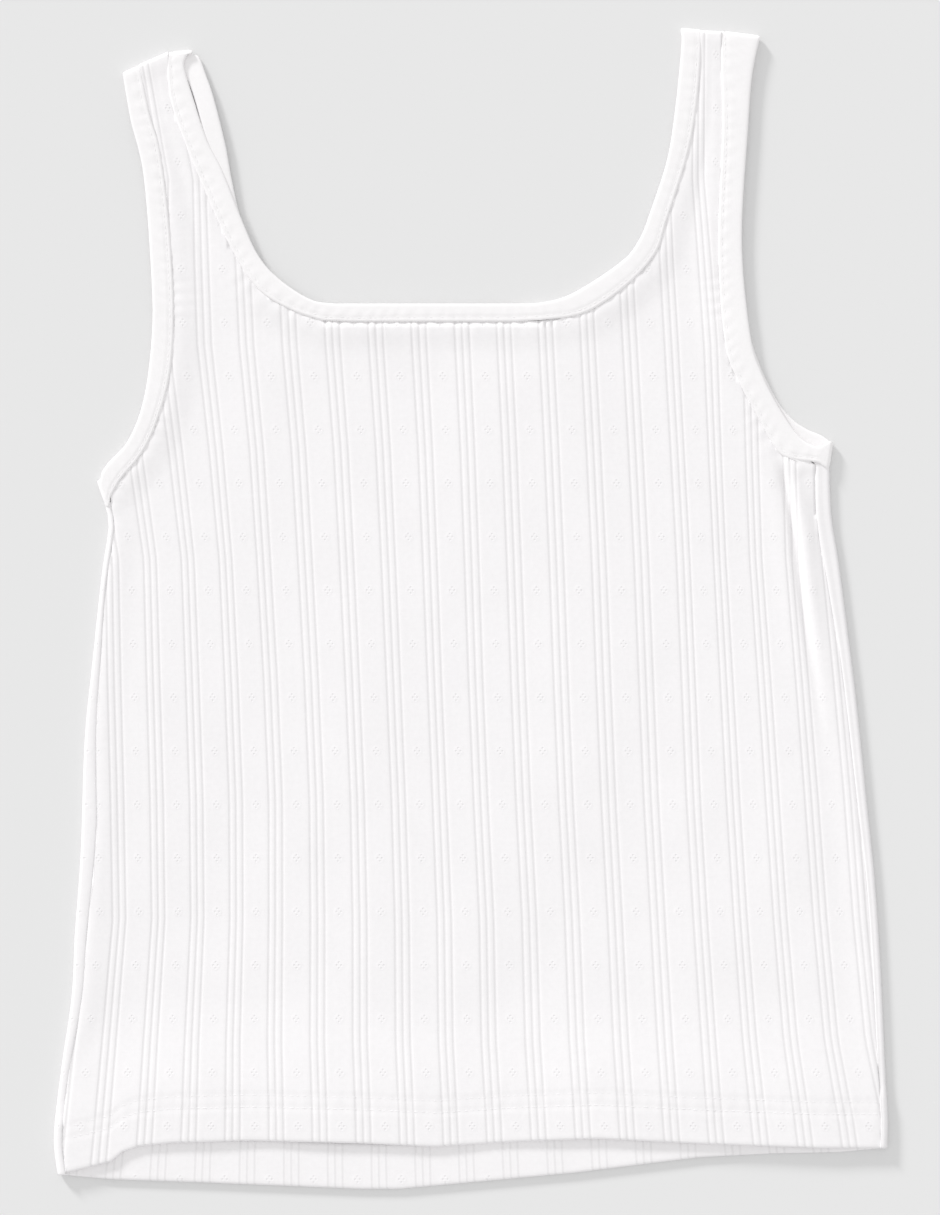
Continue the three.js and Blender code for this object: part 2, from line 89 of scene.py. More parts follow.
class Side(Enum):
    """A side of the garment, with the sign of the way out from its middle."""

    LEFT = -1
    RIGHT = 1


class Layer(Enum):
    """Which layer of the garment a piece is in."""

    FRONT = "front"
    BACK = "back"


@dataclass(frozen=True)
class Curve:
    """A smooth plan curve through a few points, read by share of its length."""

    points: tuple[tuple[float, float], ...]

    @cached_property
    def samples(self) -> Array:
        """Points of the Catmull-Rom cubic, 24 to a span."""
        p = np.array(self.points, float)
        index = np.arange(len(p) - 1)
        before, after = p[np.maximum(index - 1, 0)], p[np.minimum(index + 2, len(p) - 1)]
        start, end = p[index], p[index + 1]
        v0, v1 = (end - before) / 2, (after - start) / 2
        t = np.linspace(0, 1, 24, endpoint=False)[None, :, None]
        cubic = (
            (2 * (start - end) + v0 + v1)[:, None] * t**3
            + (3 * (end - start) - 2 * v0 - v1)[:, None] * t**2
            + v0[:, None] * t
            + start[:, None]
        )
        return np.vstack([cubic.reshape(-1, 2), p[-1:]])

    @cached_property
    def marks(self) -> Array:
        """Length along the curve at each sample."""
        steps = np.linalg.norm(np.diff(self.samples, axis=0), axis=1)
        return np.concatenate([[0], np.cumsum(steps)])

    @property
    def length(self) -> float:
        """Length in millimetres."""
        return float(self.marks[-1])

    def at(self, share: Array) -> Array:
        """Plan points at shares of the length."""
        along = np.clip(np.asarray(share, float), 0, 1) * self.length
        return np.stack(
            [np.interp(along, self.marks, self.samples[:, k]) for k in (0, 1)], axis=-1
        )

    def x_at(self, y: Array) -> Array:
        """Distance across where the curve, which climbs, passes a height."""
        climb = np.maximum.accumulate(self.samples[:, 1])
        return np.interp(y, climb, self.samples[:, 0])

    def normal(self, share: Array) -> Array:
        """Unit vectors to the left of the curve's run."""
        run = self.at(np.asarray(share) + 0.004) - self.at(np.asarray(share) - 0.004)
        run /= np.linalg.norm(run, axis=-1, keepdims=True)
        return np.stack([-run[..., 1], run[..., 0]], axis=-1)


def curve(*points: tuple[float, float]) -> Curve:
    """A curve through the points, in order."""
    return Curve(tuple(points))


@dataclass(frozen=True)
class Strip:
    """A binding's free edge and its seam, from their lower end to the shoulder fold."""

    edge: Curve
    seam: Curve

    def tucked(self, distance: float) -> "Strip":
        """The same strip moved away from the opening, except at its ends.

        Args:
            distance: how far, at the middle of its length.

        Returns:
            The moved strip.
        """
        share = np.linspace(0, 1, 17)
        normal = self.seam.normal(share)
        away = self.seam.at(share) - self.edge.at(share)
        normal *= np.sign((normal * away).sum(-1, keepdims=True))
        push = distance * np.sqrt(np.abs(np.sin(math.pi * share)))[:, None] * normal
        moved = [Curve(tuple(map(tuple, c.at(share) + push))) for c in (self.edge, self.seam)]
        return Strip(*moved)


OUTLINE = {
    Side.LEFT: curve((-206.5, -283), (-208.4, -264), (-205, -232), (-199.5, -194),
                     (-198, -164), (-195, -122), (-193, -66), (-189, -26), (-184.5, 16),
                     (-181, 40), (-182.5, 50)),
    Side.RIGHT: curve((208, -269.7), (208.3, -255), (207, -230), (204.7, -180), (201.8, -136),
                      (197.7, -96), (192.5, -46), (187.5, -6), (183.5, 24), (180, 46.5),
                      (179, 69.5)),
}

# Height, and width of the strip that the back rolls over onto the front.
ROLL = {
    Side.LEFT: ((-283, 4), (-230, 4), (-175, 5.5), (-106, 7.5), (-46, 4.5), (5, 2.5), (50, 2.5)),
    Side.RIGHT: ((-270, 3.4), (-150, 4), (-20, 5.5), (31, 8), (69.5, 7)),
}

# Across, and height of the hem's edge.
HEM = {
    Layer.FRONT: ((-206.5, -283), (-194, -280), (-180, -276.5), (-174, -271.5), (-166, -268.8),
                  (-149, -267), (-110, -266), (-55, -267.3), (-18, -269), (21, -266.5),
                  (64, -265), (114, -267.5), (174, -269.7), (208, -269.7)),
    Layer.BACK: ((-206.5, -283), (-180, -285.5), (-131, -287.2), (-55, -290.3), (-36, -290.3),
                 (6, -286.5), (51, -282.3), (114, -274.5), (150, -272.6), (184, -271.9),
                 (208, -269.7)),
}

ARMHOLE = {
    (Layer.FRONT, Side.LEFT): Strip(
        curve((-187, 63.5), (-181.5, 72), (-171, 84), (-163.5, 104), (-159.5, 134),
              (-159.5, 164), (-163.5, 216), (-170, 244), (-174, 267.5)),
        curve((-182.5, 50), (-179, 57.5), (-174.5, 65), (-165, 76.5), (-157.5, 91.5),
              (-150.5, 116.5), (-148.5, 149), (-151, 194), (-155.5, 229), (-160.5, 246.5),
              (-165.5, 271.5))),
    (Layer.FRONT, Side.RIGHT): Strip(
        curve((181, 83), (176, 81.3), (171, 81), (164, 85.5), (154.5, 99), (145.5, 116.5),
              (139.5, 136.5), (135.3, 184), (138.5, 241.5), (140.5, 266.5), (144.5, 286)),
        curve((179, 69.5), (173.5, 72.5), (159.5, 74.5), (152.5, 79), (143.5, 95),
              (134.5, 111.5), (127, 131.5), (123.5, 179), (125.5, 239), (125, 268),
              (124.5, 288.5))),
    (Layer.BACK, Side.RIGHT): Strip(
        curve((181, 83), (174.5, 86.5), (168.5, 89), (161, 94), (153.5, 103), (144.5, 121),
              (138.5, 142), (134, 184), (137, 241.5), (140, 266.5), (144.5, 286)),
        curve((179, 69.5), (173, 75.5), (162, 79), (152, 86), (142.5, 100), (133, 116),
              (126, 136), (122.2, 179), (124.2, 239), (124.4, 268), (124.5, 288.5))),
}
NECK = {
    (Layer.FRONT, Side.LEFT): Strip(
        curve((-68, 152), (-80, 154), (-95.5, 164), (-106.5, 176.5), (-115.5, 196.5),
              (-124.5, 219), (-132, 234), (-138.5, 254), (-142.8, 268), (-143, 273.5),
              (-139.5, 279)),
        curve((-74, 143.5), (-90, 149), (-106.5, 159.5), (-120.5, 181), (-132.5, 207.5),
              (-142.5, 231.5), (-149.5, 251.5), (-151.5, 266), (-151.8, 277.5))),
    (Layer.FRONT, Side.RIGHT): Strip(
        curve((32, 152), (49.5, 156.5), (74.5, 172.5), (84, 184), (90, 199), (98, 224),
              (102, 249), (105, 279), (105, 289.8)),
        curve((35, 143.7), (57, 147.5), (77.5, 161), (92, 177), (97.5, 193), (107.5, 224),
              (112, 246.5), (114.5, 271.5), (115, 289))),
    (Layer.BACK, Side.LEFT): Strip(
        curve((-66, 150), (-80, 152), (-97, 162), (-108, 176), (-115.5, 196.5),
              (-119.5, 214), (-123, 233), (-129, 256.5), (-132.5, 266.5), (-135.5, 274.5),
              (-139.5, 279)),
        curve((-74, 141.5), (-89, 145), (-105, 155.5), (-117.5, 172), (-125.5, 194),
              (-129.5, 214), (-133.5, 236), (-139.5, 258), (-145.5, 270), (-151.8, 277.5))),
}
ARMHOLE[Layer.BACK, Side.LEFT] = ARMHOLE[Layer.FRONT, Side.LEFT].tucked(BACK_TUCK)
NECK[Layer.BACK, Side.RIGHT] = NECK[Layer.FRONT, Side.RIGHT].tucked(BACK_TUCK)
BACK_NECK_DROP = 2.0  # how much lower the back's neckline lies

SHOULDER_OUT = {Side.LEFT: np.array((-0.196, 0.981)), Side.RIGHT: np.array((0.0995, 0.995))}

# A point on each shoulder's fold line, and the line's slope.
FOLD_LINE = {Side.LEFT: (-165.5, 269.6, 0.438), Side.RIGHT: (115.0, 286.6, -0.05)}

# Height, centre across and rise of the soft crease under the right armhole.
CREASE = ((-70, 177, 0), (-30, 171, 0.9), (10, 165, 1.9), (40, 161.5, 2.3), (62, 157.5, 2.0),
          (80, 154, 0))


def fold_line(x: Array) -> Array:
    """Height where the panels turn over the shoulders: a straight slope for each strap."""
    left, right = (y + slope * (x - at) for at, y, slope in FOLD_LINE.values())
    return np.where(x < NECK_MIDDLE, left, right)


@dataclass(frozen=True)
class Grain:
    """Where the rib groups run.

    A group is three fine grooves beside each other, and the groups are numbered from the left.
    Each row gives a height and the distance across of groups 0, 4, 9, 14 and 18 there.
    """

    keys: tuple[int, ...] = (0, 4, 9, 14, 18)
    rows: tuple[tuple[float, ...], ...] = (
        (-292, -187, -97, 13, 125, 215),
        (-258, -184, -97, 11.5, 122, 209.5),
        (-216, -180.5, -98, 9, 119, 200.5),
        (-156, -175.5, -97.5, 8, 115, 194.5),
        (-96, -176.5, -97.5, 5, 111.5, 190),
        (-36, -178, -100, 2.5, 109, 184.5),
        (24, -179, -103.5, 0.5, 106.5, 178.5),
        (79, -188, -107, -1.5, 103.5, 177.5),
        (131.5, -196, -112, -4, 100.5, 178),
        (174, -196, -114, -6, 98, 173),
        (214, -191, -117, -8, 96.5, 165),
        (290, -200, -134, -12, 97, 165),
    )
    line: float = 0.168  # from a group's middle groove to its outer ones, in groups
    flank: float = 0.036  # from a groove to the columns beside it
    beside: float = 0.235  # from a group's middle to the ridge beside it
    groove_width: float = 0.03
    inner_ridge_width: float = 0.04
    outer_ridge_width: float = 0.035
    groove_depth: float = 0.18  # in millimetres
    ridge_height: float = 0.07

    def x(self, group: Array, y: Array) -> Array:
        """Distance across of a group number at a height, straight between the keys."""
        table = np.array(self.rows, float)
        keys = np.array(self.keys, float)
        at = [np.interp(y, table[:, 0], table[:, k + 1]) for k in range(len(keys))]
        low = np.clip(np.searchsorted(keys, group, side="right") - 1, 0, len(keys) - 2)
        at = np.stack(at)
        x0 = np.take_along_axis(at, low[None], 0)[0]
        x1 = np.take_along_axis(at, low[None] + 1, 0)[0]
        return x0 + (group - keys[low]) / (keys[low + 1] - keys[low]) * (x1 - x0)

    def columns(self) -> Array:
        """Group numbers of the mesh's columns, three to a groove and five to a channel."""
        grooves = [k * self.line + d * self.flank for k in (-1, 0, 1) for d in (-1, 0, 1)]
        ridges = [-self.line / 2, self.line / 2, self.beside, 1 - self.beside]
        one = np.sort(np.concatenate([grooves, ridges, np.linspace(0.3, 0.7, 5)]))
        return (np.arange(-2, 20)[:, None] + one[None, :]).ravel()

    def relief(self, group: Array) -> Array:
        """Depth of the knit: down in the grooves, up between them and beside the group."""
        off = np.abs(group - np.round(group))
        to_line = np.minimum(off, np.abs(off - self.line))
        grooves = bump(to_line, self.groove_width)
        ridges = bump(off - self.line / 2, self.inner_ridge_width)
        ridges = ridges + 0.6 * bump(off - self.beside, self.outer_ridge_width)
        return self.ridge_height * ridges - self.groove_depth * grooves


GRAIN = Grain()


# ------------------------------------------------------------------ meshes


def make_mesh(name: str, points: Array, faces: Array, uv: Array) -> bpy.types.Object:
    """A mesh object of merged points, with a UV map.

    Args:
        name: the piece's name.
        points: (n, 3) places in millimetres. Equal ones are merged.
        faces: (m, 4) corners. A face that closes up to three corners becomes a triangle.
        uv: (n, 2) the pattern's place at each point.

    Returns:
        The object, linked to the scene, smooth, with its faces as given.
    """
    keys = np.round(points, 5)
    _, first, merged = np.unique(keys, axis=0, return_index=True, return_inverse=True)
    merged = merged.ravel()
    corner = merged[faces]
    distinct = corner != np.roll(corner, -1, axis=1)
    size = distinct.sum(axis=1)
    crossed = (corner[:, 0] == corner[:, 2]) | (corner[:, 1] == corner[:, 3])
    good = (size == 3) | ((size == 4) & ~crossed)
    loops = corner[good][distinct[good]].astype(np.int32)
    sizes = size[good]
    mesh = bpy.data.meshes.new(name)
    mesh.vertices.add(len(first))
    mesh.vertices.foreach_set("co", (points[first] * MM).astype(np.float32).ravel())
    mesh.loops.add(len(loops))
    mesh.loops.foreach_set("vertex_index", loops)
    mesh.polygons.add(len(sizes))
    mesh.polygons.foreach_set("loop_start", (np.cumsum(sizes) - sizes).astype(np.int32))
    mesh.update(calc_edges=True)
    layer = mesh.uv_layers.new(name="Knit")
    layer.data.foreach_set("uv", uv[first][loops].astype(np.float32).ravel())
    mesh.polygons.foreach_set("use_smooth", np.ones(len(mesh.polygons), bool))
    mesh.update()
    piece = bpy.data.objects.new(name, mesh)
    bpy.context.scene.collection.objects.link(piece)
    return piece


def grid_faces(rows: int, columns: int, ring: bool = False) -> Array:
    """Corner numbers of a grid's cells, row by row.

    Args:
        rows: rows of points.
        columns: points in a row.
        ring: whether the last row joins the first and the last column the first.

    Returns:
        (cells, 4) corner numbers.
    """
    r = np.arange(rows if ring else rows - 1)[:, None]
    c = np.arange(columns if ring else columns - 1)[None, :]
    r2, c2 = (r + 1) % rows, (c + 1) % columns
    cells = [r * columns + c, r * columns + c2, r2 * columns + c2, r2 * columns + c]
    return np.stack(np.broadcast_arrays(*cells), axis=-1).reshape(-1, 4)


def thicken(piece: bpy.types.Object, wall: float) -> None:
    """Gives a surface its wall, inwards from the side that its faces look to."""
    solid = piece.modifiers.new("wall", "SOLIDIFY")
    solid.thickness = wall * MM
    solid.offset = -1
    solid.use_rim = True


# ------------------------------------------------------------------ panels


@dataclass
class Panel:
    """A front or back panel with its turned-up hem.

    Its rows climb from the hem to the shoulder and its columns follow the ribs. A column that
    meets an edge stays on it, so that each row starts and ends exactly on the outline.
    """

    layer: Layer
    name: str
    phase: float = 0.0  # how far the rib groups are shifted, in groups
    turn_steps: int = 9  # rows round a shoulder fold
    roll_steps: int = 7  # columns round a side
    hem_steps: int = 6  # rows round the hem
    hem_row: float = 1.6  # distance between rows on the hem
    body_row: float = 6.2  # and on the body
    underarm_row: float = 1.7  # and beside the underarm
    underarm: float = 46.0  # height where the closer rows start
    underarm_depth: float = 52.0
    hem_ease: tuple[float, float] = (30.0, 150.0)  # rises between which rows become level

    @property
    def is_front(self) -> bool:
        """Whether this is the upper panel."""
        return self.layer is Layer.FRONT

    def hem(self, x: Array) -> Array:
        """Height of the hem's edge at a distance across."""
        table = np.array(HEM[self.layer], float)
        return np.interp(x, table[:, 0], table[:, 1])

    @property
    def hem_level(self) -> float:
        """The hem's usual height."""
        return -266.0 if self.is_front else -282.0

    @property
    def neck_level(self) -> float:
        """Height of the neckline's flat stretch."""
        return NECK_LEVEL + TUCK - (0 if self.is_front else BACK_NECK_DROP)

    def rises(self) -> Array:
        """Rows of the body, as distances above the hem's edge."""
        top = self.neck_level - self.hem_level
        low, arm = self.hem_ease[0], self.underarm - self.hem_level
        end = arm + self.underarm_depth
        return np.concatenate([
            np.arange(1.0, low, self.hem_row),
            np.arange(low + 1, arm, self.body_row),
            np.arange(arm, end, self.underarm_row),
            np.linspace(end + 2, top, 12),
        ])

    def climbs(self) -> Array:
        """Rows of the straps, as shares from the neck's bottom to the shoulder fold."""
        return np.concatenate([np.linspace(0, 0.16, 18), np.linspace(0.19, 1, 32)])

    def row_height(self, rise: Array, climb: Array, x: Array) -> Array:
        """Height of a row at a distance across.

        It is the hem's edge plus the rise, eased to level rows on the way up. Above
        the neck's bottom it is a share of the way to the slanting shoulder fold.
        """
        ease = smooth(*self.hem_ease, rise)
        body = (1 - ease) * (self.hem(x) + rise) + ease * (self.hem_level + rise)
        strap = self.neck_level + climb * (fold_line(x) - self.neck_level)
        return np.where(climb > 0, strap, body)

    def side_edge(self, side: Side, y: Array) -> Array:
        """Distance across of the panel's outer edge: side, underarm, then armhole seam."""
        outline, seam = OUTLINE[side], ARMHOLE[self.layer, side].seam
        top = outline.points[-1][1]
        inward = -side.value
        if self.is_front:
            step = strip_width(side, y)
        else:
            step = roll_radius(y - self.hem(outline.x_at(y)))
        body = outline.x_at(np.minimum(y, top)) + inward * step
        armhole = seam.x_at(y) - inward * TUCK
        inner = np.maximum if side is Side.LEFT else np.minimum
        blend = 9.0
        return np.where(y < top, body, np.where(y < top + blend, inner(body, armhole), armhole))

    def neck_edge(self, side: Side, y: Array) -> Array:
        """Distance across of the panel's neck seam."""
        return NECK[self.layer, side].seam.x_at(y) - side.value * TUCK

    def settle(
        self, find: Callable[[Array], Array], rise: Array, climb: Array, x: float
    ) -> Array:
        """The distance across where each row meets an edge, found by repeated halving.

        Args:
            find: distance across of the edge at a height.
            rise: rise of each row.
            climb: climb of each row.
            x: first guess.

        Returns:
            The distance across, for each row.
        """
        place = np.full_like(rise, x)
        for _ in range(8):
            place = 0.5 * place + 0.5 * find(self.row_height(rise, climb, place))
        return place

    def plan(self) -> tuple[Array, Array, Array, Array, Array]:
        """Plan of the rows and columns.

        Returns:
            x and y of each point, the rise and climb of each row, and whether each cell is
            cloth.
        """
        rises, climbs = self.rises(), self.climbs()
        rise = np.concatenate([rises, np.full(len(climbs), rises[-1])])
        climb = np.concatenate([np.zeros(len(rises)), climbs])
        strap = np.arange(len(rise)) >= len(rises)
        group = GRAIN.columns() + self.phase
        rise2, climb2 = rise[:, None], climb[:, None]
        x = np.broadcast_to(GRAIN.x(group, np.zeros_like(group)), (len(rise), len(group)))
        for _ in range(4):
            y = self.row_height(rise2, climb2, x)
            x = GRAIN.x(np.broadcast_to(group, y.shape), y)
        left, right = (
            self.settle(lambda y, s=s: self.side_edge(s, y), rise, climb, s.value * 190)
            for s in Side
        )
        neck = [
            self.settle(lambda y, s=s: self.neck_edge(s, y), rise, climb, s.value * 60)
            for s in Side
        ]
        on_left = x < NECK_MIDDLE
        inner_left = np.where(strap, neck[0], 1e6)[:, None]
        inner_right = np.where(strap, neck[1], -1e6)[:, None]
        x = np.clip(x, left[:, None], right[:, None])
        x = np.where(on_left, np.minimum(x, inner_left), np.maximum(x, inner_right))
        y = self.row_height(rise2, climb2, x)
        wide = np.diff(x, axis=1) > 1e-4
        gap = strap[:, None] & on_left[:, :-1] & ~on_left[:, 1:]
        cloth = (wide[:-1] | wide[1:]) & ~gap[:-1] & ~gap[1:]
        cloth[len(rises) - 1] = False
        return x, y, rise, climb, cloth

    def build(self) -> bpy.types.Object:
        """Makes the panel: its surface, its turned-up hem and its wall."""
        x, y, rise, climb, cloth = self.plan()
        group = np.broadcast_to(GRAIN.columns(), x.shape)
        place, normal = self.surface(x, y, rise, group)
        uv = np.stack([group, y / MOTIF], axis=-1)
        if self.is_front:
            place, normal, uv, cloth = self.over_shoulder(place, normal, uv, cloth)
        else:
            place, normal, uv, cloth = self.with_rolls(place, normal, uv, cloth, rise)
        place, uv, cloth = self.with_hem(place, normal, uv, cloth)
        rows, columns = place.shape[:2]
        faces = grid_faces(rows, columns)[cloth.ravel()]
        if not self.is_front:
            faces = faces[:, ::-1]
        piece = make_mesh(self.name, place.reshape(-1, 3), faces, uv.reshape(-1, 2))
        thicken(piece, WALL)
        return piece

    def surface(self, x: Array, y: Array, rise: Array, group: Array) -> tuple[Array, Array]:
        """The outer face of the flat stretch, and the way it looks."""
        stitched = bump(rise[:, None] - np.mean(STITCH_RISES), 4)
        relief = GRAIN.relief(group) * (1 - 0.6 * stitched)
        if self.is_front:
            z = front_top(x, y, rise[:, None]) + relief
        else:
            z = 0.1 - 0.25 * relief
        place = np.stack([x, y, np.broadcast_to(z, x.shape)], axis=-1)
        normal = np.zeros_like(place)
        normal[..., 2] = 1 if self.is_front else -1
        return place, normal

    def over_shoulder(
        self, place: Array, normal: Array, uv: Array, cloth: Array
    ) -> tuple[Array, Array, Array, Array]:
        """Adds the half turns over the shoulders and the laps under them."""
        radius = BINDING_FOLD / 2
        last = place[-1]
        right = last[:, :1] > NECK_MIDDLE
        outward = np.where(right, SHOULDER_OUT[Side.RIGHT], SHOULDER_OUT[Side.LEFT])
        turns = [(radius * math.sin(a), radius * (1 + math.cos(a)), a)
                 for a in np.linspace(0, math.pi, self.turn_steps + 1)[1:]]
        turns.append((-SHOULDER_LAP, 0.0, math.pi))
        rows, looks, maps = [], [], []
        for index, (reach, level, angle) in enumerate(turns):
            sag = (last[:, 2:3] - BINDING_FOLD) * math.cos(angle)
            plan = last[:, :2] + outward * reach
            rows.append(np.concatenate([plan, np.full_like(sag, level) + sag], axis=1))
            looks.append(np.concatenate(
                [outward * math.sin(angle), np.full_like(sag, math.cos(angle))], axis=1))
            maps.append(uv[-1] + (0, 0.03 * (index + 1)))
        place = np.concatenate([place, np.stack(rows)])
        normal = np.concatenate([normal, np.stack(looks)])
        uv = np.concatenate([uv, np.stack(maps)])
        cloth = np.concatenate([cloth, np.repeat(cloth[-1:], len(turns), axis=0)])
        return place, normal, uv, cloth

    def with_rolls(
        self, place: Array, normal: Array, uv: Array, cloth: Array, rise: Array
    ) -> tuple[Array, Array, Array, Array]:
        """Adds the sides: a half turn up and a strip over the front, to the side seam."""
        parts = {}
        for side in Side:
            edge = place[:, 0 if side is Side.LEFT else -1]
            start = uv[:, 0 if side is Side.LEFT else -1]
            y = edge[:, 1]
            radius = roll_radius(rise)
            width = strip_width(side, y) + 0.2
            angles = np.linspace(math.pi, 0, self.roll_steps + 1)[1:]
            steps = [(side.value * radius * np.sin(a), radius * (1 + np.cos(a)),
                      side.value * math.sin(a), math.cos(a)) for a in angles]
            for share in (0.5, 0.85, 1.0):
                inward = (width - radius) * share
                dip = 0.4 * share**6
                steps.append((-side.value * inward, 2 * radius - dip, 0.0, 1.0))
            active = y < OUTLINE[side].points[-1][1] + UNDERARM_OVERLAP
            rows = np.stack([np.stack([edge[:, 0] + np.where(active, dx, 0), y,
                                       np.where(active, z, edge[:, 2])], -1)
                             for dx, z, _, _ in steps], axis=1)
            looks = np.stack([np.broadcast_to((nx, 0, nz), edge.shape)
                              for _, _, nx, nz in steps], axis=1)
            maps = np.stack([start + (side.value * 0.05 * (k + 1), 0)
                             for k in range(len(steps))], axis=1)
            cells = np.repeat((active[:-1] & active[1:])[:, None], len(steps), axis=1)
            parts[side] = (rows, looks, maps, cells)
        left = [part[:, ::-1] for part in parts[Side.LEFT]]
        middle = (place, normal, uv, cloth)
        joined = [np.concatenate([a, b, c], axis=1)
                  for a, b, c in zip(left, middle, parts[Side.RIGHT])]
        return joined[0], joined[1], joined[2], joined[3]

    def with_hem(
        self, place: Array, normal: Array, uv: Array, cloth: Array
    ) -> tuple[Array, Array, Array]:
        """Adds the allowance inside the hem and the fold at its edge, before the first row."""
        rises = self.rises()
        inside = [int(np.argmin(np.abs(rises - r))) for r in (24.4, 21, 17, 12, 7, 3)]
        rows = [place[k] - 2 * CLOTH * normal[k] for k in inside]
        maps = [uv[k] for k in inside]
        down = np.array((0.0, -1.0, 0.0))
        for angle in np.linspace(math.pi, 0, self.hem_steps + 1)[:-1]:
            turn = down * math.sin(angle) - normal[0] * (1 - math.cos(angle))
            rows.append(place[0] + CLOTH * turn)
            maps.append(uv[0])
        extra = len(rows)
        place = np.concatenate([np.stack(rows), place])
        uv = np.concatenate([np.stack(maps), uv])
        cloth = np.concatenate([np.repeat(cloth[:1], extra, axis=0), cloth])
        return place, uv, cloth


def roll_width(side: Side, y: Array) -> Array:
    """Width of the strip that the back rolls over onto the front."""
    table = np.array(ROLL[side], float)
    return np.interp(y, table[:, 0], table[:, 1])


def strip_width(side: Side, y: Array) -> Array:
    """The same width, but never less than the half turn and its clearance."""
    return np.maximum(roll_width(side, y), HEM_FOLD / 2 + 0.2)


def roll_radius(rise: Array) -> Array:
    """Radius of the side's half turn, larger where the hem doubles the cloth."""
    return SIDE_FOLD / 2 + (HEM_FOLD - SIDE_FOLD) / 2 * (1 - smooth(24, 34, rise))


def seam_samples() -> tuple[Array, Array]:
    """Points along the front's binding seams, and the distance along each one."""
    parts, marks = [], []
    for strips in (ARMHOLE, NECK):
        for side in Side:
            seam = strips[Layer.FRONT, side].seam
            share = np.linspace(0, 1, 320)
            parts.append(seam.at(share))
            marks.append(share * seam.length)
    x = np.linspace(-74, 35, 140)
    parts.append(np.stack([x, np.full_like(x, NECK_LEVEL)], axis=1))
    marks.append(x - 7)
    return np.concatenate(parts), np.concatenate(marks)


def front_top(x: Array, y: Array, rise: Array) -> Array:
    """Level of the front's upper face.

    The cloth lies on the back, comes up to the bindings and the side rolls, and keeps the soft
    waves, the puckers along the seams and the crease under the right armhole.
    """
    seams, marks = seam_samples()
    flat = np.stack([x.ravel(), y.ravel()], axis=1)
    gap = np.full(len(flat), 1e6)
    along = np.zeros(len(flat))
    for point, mark in zip(seams, marks):
        distance = np.hypot(flat[:, 0] - point[0], flat[:, 1] - point[1])
        near = distance < gap
        gap[near] = distance[near]
        along[near] = mark
    gap, along = gap.reshape(x.shape), along.reshape(x.shape)
    to_side = np.full(x.shape, 1e6)
    for side in Side:
        top = OUTLINE[side].points[-1][1]
        seam = OUTLINE[side].x_at(y) - side.value * np.maximum(roll_width(side, y), 2.4)
        to_side = np.where(y < top + 4, np.minimum(to_side, np.abs(x - seam)), to_side)
    at_binding = BINDING_FOLD - (BINDING - CLOTH) / 2 - REST
    lift = np.maximum.reduce([
        (HEM_FOLD - REST) * (1 - smooth(18, 75, rise + 0 * x)),
        (SIDE_FOLD - REST) * (1 - smooth(0, LOFT_REACH, to_side)),
        at_binding * (1 - smooth(0, LOFT_REACH, gap)),
    ])
    z = REST + lift + soft_waves(x, y) * smooth(2, 30, np.minimum(gap, to_side))
    z += 0.16 * np.sin(along * 0.86 + 2 * np.sin(along * 0.11)) * np.exp(-gap / 5.5)
    z -= 0.35 * bump(gap, 2.0) + 0.4 * bump(to_side, 1.6)
    z += creases(x, y) + hem_shape(x, rise)
    fold = np.where(x < NECK_MIDDLE, fold_line(x), FOLD_LINE[Side.RIGHT][1])
    return z + (BINDING_FOLD - z) * smooth(-12, 0, y - fold)


def soft_waves(x: Array, y: Array) -> Array:
    """Low swells of the laid cloth: crossing sines of uneven length."""
    return (
        0.30 * np.sin(x / 31 + 0.9 * np.sin(y / 57)) * np.sin(y / 83 + 0.7)
        + 0.22 * np.sin(x / 17.3 - y / 96 + 1.3) * np.sin(y / 61 - 0.4)
        + 0.14 * np.sin(x / 9.1 + 1.7 * np.sin(y / 44)) * np.sin(y / 37 + x / 120)
    )


def creases(x: Array, y: Array) -> Array:
    """The crease under the right armhole: a groove with a soft ridge outside it."""
    table = np.array(CREASE, float)
    centre = np.interp(y, table[:, 0], table[:, 1])
    rise = np.interp(y, table[:, 0], table[:, 2], left=0, right=0)
    off = x - centre
    wave = 0.85 * bump(off - 4.5, 4.2) - 0.75 * bump(off + 0.5, 1.9) + 0.25 * bump(off + 7, 5)
    return rise * wave


def hem_shape(x: Array, rise: Array) -> Array:
    """Two rows of stitching pressed into the hem, with slight tucks between the stitches."""
    low, high = STITCH_RISES
    off = rise + 0 * x - (low + high) / 2
    half = (high - low) / 2
    tucks = 0.1 * np.sin(x * 0.9 + 1.5 * np.sin(x * 0.13)) * bump(off, 6)
    return tucks - 0.2 * (bump(off + half, 1.1) + bump(off - half, 1.1)) - 0.1 * bump(off, 2)


# ------------------------------------------------------------------ bindings


